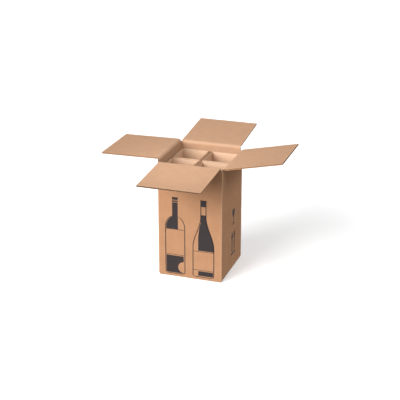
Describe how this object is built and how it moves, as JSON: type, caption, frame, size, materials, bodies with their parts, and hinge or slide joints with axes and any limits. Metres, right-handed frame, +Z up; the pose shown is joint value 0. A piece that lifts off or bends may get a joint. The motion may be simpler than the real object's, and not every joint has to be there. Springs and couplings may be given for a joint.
{
  "type": "bottle shipping carton",
  "caption": "Upright corrugated shipping carton for wine bottles, its full-length top flaps hinged and standing open, with folded square bottle sleeves inside.",
  "frame": {"origin": "middle of the carton's underside, on the floor", "axes": "+Z up; -Y towards the front, the printed wall; +X to the right as seen from the front"},
  "size_m": [0.6196, 0.6228, 0.4432],
  "materials": {
    "carton_board": "matte kraft liner",
    "sleeve_board": "matte kraft liner"
  },
  "bodies": {
    "carton": {"carton_body": "carton_board", "bottle_sleeve_front_left": "sleeve_board", "bottle_sleeve_front_right": "sleeve_board", "bottle_sleeve_back_left": "sleeve_board", "bottle_sleeve_back_right": "sleeve_board"},
    "flap_front": {"top_flap_front": "carton_board"},
    "flap_back": {"top_flap_back": "carton_board"},
    "flap_left": {"top_flap_left": "carton_board"},
    "flap_right": {"top_flap_right": "carton_board"}
  },
  "joints": [
    {"name": "top_flap_front_crease", "type": "hinge", "parent": "carton", "child": "flap_front", "pos_m": [0, -0.112, 0.40135], "axis": [-1, 0, 0], "range_deg": [-81.5, 183.5]},
    {"name": "top_flap_back_crease", "type": "hinge", "parent": "carton", "child": "flap_back", "pos_m": [0, 0.112, 0.40665], "axis": [1, 0, 0], "range_deg": [-91.1, 173.9]},
    {"name": "top_flap_left_crease", "type": "hinge", "parent": "carton", "child": "flap_left", "pos_m": [-0.112, 0, 0.41195], "axis": [0, 1, 0], "range_deg": [-84, 181]},
    {"name": "top_flap_right_crease", "type": "hinge", "parent": "carton", "child": "flap_right", "pos_m": [0.112, 0, 0.39605], "axis": [0, -1, 0], "range_deg": [-97.2, 167.8]}
  ]
}
